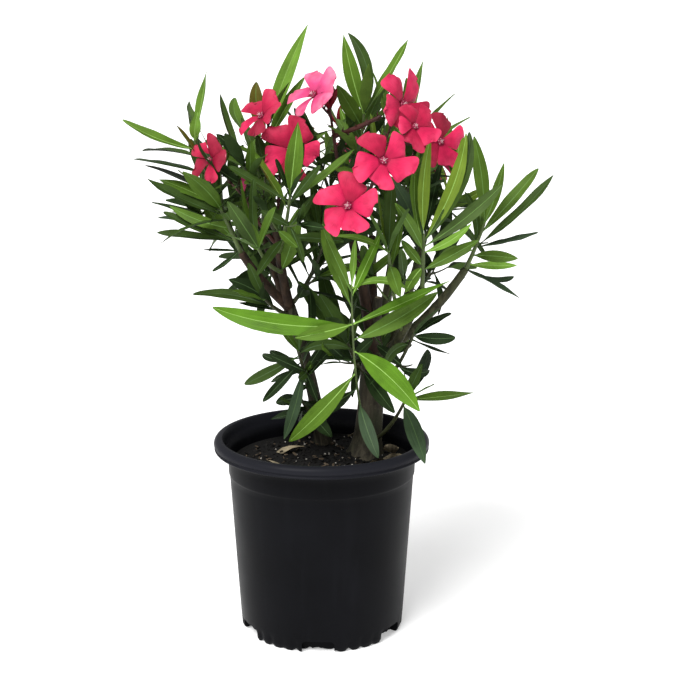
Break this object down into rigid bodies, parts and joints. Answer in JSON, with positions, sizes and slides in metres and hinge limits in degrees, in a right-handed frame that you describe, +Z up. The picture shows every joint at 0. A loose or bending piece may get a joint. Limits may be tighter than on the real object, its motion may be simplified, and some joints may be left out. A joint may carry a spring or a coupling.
{
  "type": "potted oleander",
  "caption": "Potted oleander shrub in bloom: forked woody stems, whorls of narrow leaves and trusses of pink blossom in a round black nursery pot.",
  "frame": {"origin": "centre of the pot's flat underside, on the pot's axis", "axes": "+Z up along the pot's axis, -Y towards the pictured side, +X to the right seen from there"},
  "size_m": [0.4689, 0.3957, 0.659],
  "materials": {
    "pot": "satin black moulded plastic with light scuffs",
    "soil": "dark moist bark mix with white mineral grains",
    "bark": "grey-brown ridged bark, green and red-brown on young wood",
    "foliage": "leathery green leaves with a pale midrib",
    "foliage_young": "bright yellow-green young leaves",
    "foliage_old": "dark green older leaves",
    "blossom": "crimson-pink petals with a paler throat"
  },
  "bodies": {
    "root": {"pot": "pot", "soil": "soil", "trunk": "bark", "left_stem": "bark", "bough_centre": "bark", "bough_right": "bark", "bough_right_inner": "bark", "bough_front_right": "bark", "bough_back": "bark", "bough_back_right": "bark", "pruned_stub": "bark", "bough_left_outer": "bark", "bough_left_upper": "bark", "bough_left_back": "bark", "blossom_centre": "blossom", "blossom_right": "blossom", "blossom_front": "blossom", "blossom_left": "blossom", "blossom_far_left": "blossom", "blossom_back": "blossom", "blossom_back_right": "blossom", "foliage_left_tip": "foliage", "foliage_left_behind": "foliage_old", "foliage_left_mid": "foliage_old", "foliage_centre_left": "foliage", "foliage_top_left": "foliage_young", "foliage_centre_top": "foliage_young", "foliage_centre_upper": "foliage_old", "foliage_front": "foliage_young", "foliage_inner_front": "foliage_old", "foliage_right_front": "foliage_young", "foliage_right_outer": "foliage", "foliage_right_top": "foliage", "foliage_right_inner": "foliage_old", "foliage_right_low": "foliage_old", "foliage_foot_right": "foliage_old", "foliage_left_low": "foliage_old", "foliage_left_dark": "foliage_old", "foliage_left_foot": "foliage_old", "foliage_inner_centre": "foliage_old", "foliage_front_left": "foliage", "foliage_front_mid": "foliage", "foliage_back_left": "foliage", "foliage_back_left_low": "foliage_old", "foliage_back_centre": "foliage_young", "foliage_back_top": "foliage", "foliage_back_right": "foliage", "foliage_back_right_low": "foliage_old", "foliage_back_low": "foliage_old"}
  },
  "joints": []
}
